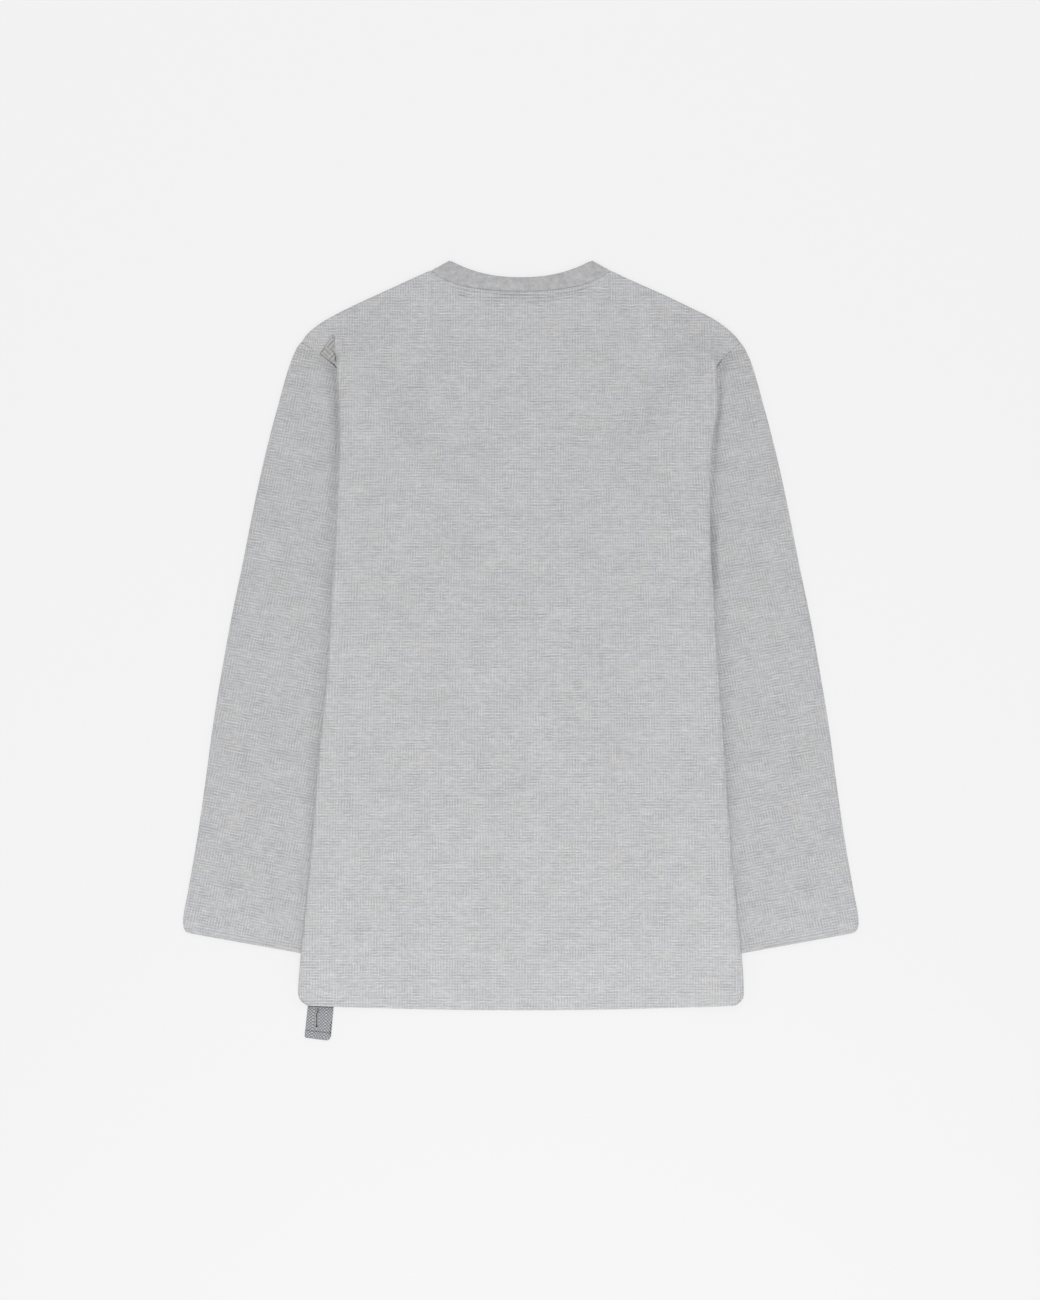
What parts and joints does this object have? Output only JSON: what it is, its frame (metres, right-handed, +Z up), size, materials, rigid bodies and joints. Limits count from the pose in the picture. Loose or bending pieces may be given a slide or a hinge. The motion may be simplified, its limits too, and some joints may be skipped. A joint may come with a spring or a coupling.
{
  "type": "thermal top",
  "caption": "Long-sleeved crew-neck thermal top in grey waffle knit, laid flat with its back up, its sides tucked under over the sleeves, with a small tape tab at the hem.",
  "frame": {"origin": "on the surface the top lies on, under the middle of its outline", "axes": "+Y along the body from the hem to the neck, +X across the body towards the picture's right (the wearer's right side, as the back is up), +Z up from the surface through the front to the back"},
  "size_m": [0.676, 0.78, 0.011],
  "materials": {
    "waffle_knit": "heather light grey waffle knit cotton, matt, with fine lighter and darker streaks across",
    "neckband_knit": "plain heather grey knit without ribs, matt",
    "twill_tape": "mid-grey herringbone twill tape, matt"
  },
  "bodies": {
    "root": {"back_panel": "waffle_knit", "front_panel": "waffle_knit", "sleeve_left": "waffle_knit", "sleeve_right": "waffle_knit", "neckband": "neckband_knit", "hem_tab": "twill_tape"}
  },
  "joints": []
}
